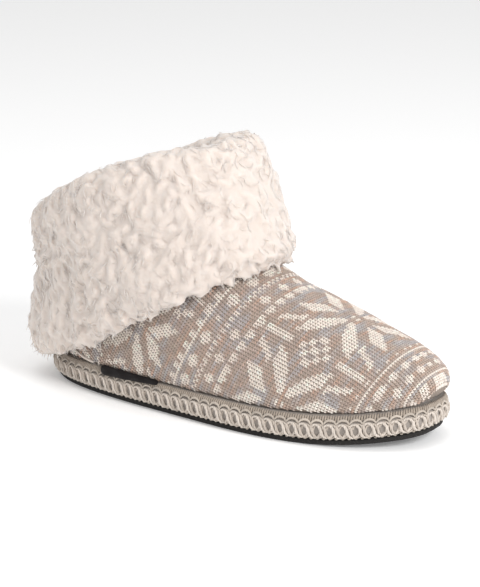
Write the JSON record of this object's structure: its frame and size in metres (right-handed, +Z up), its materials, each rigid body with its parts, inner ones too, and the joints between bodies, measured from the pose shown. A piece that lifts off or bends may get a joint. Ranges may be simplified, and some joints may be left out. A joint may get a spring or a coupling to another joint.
{
  "type": "bootie slipper",
  "caption": "Right-foot bootie slipper with a patterned knit upper, a thick folded-down fleece cuff, a padded knit-wrapped platform and a thin rubber outsole.",
  "frame": {"origin": "on the floor plane under the middle of the whole shoe's bounding box", "axes": "+X from heel to toe, +Y towards the big toe side, +Z up; the little toe side is -Y"},
  "size_m": [0.2794, 0.1132, 0.159],
  "materials": {
    "outsole": "matt charcoal rubber with a fine pimpled edge",
    "midsole": "padded platform wrapped in cream and taupe yarn",
    "insole": "cream fleece footbed",
    "upper": "heathered taupe and cream jersey knit with a snowflake pattern",
    "cuff": "creamy white curled fleece",
    "side_label": "dark woven tape, blank"
  },
  "bodies": {
    "root": {"outsole": "outsole", "midsole": "midsole", "insole": "insole", "upper": "upper", "cuff": "cuff", "side_label": "side_label"}
  },
  "joints": []
}
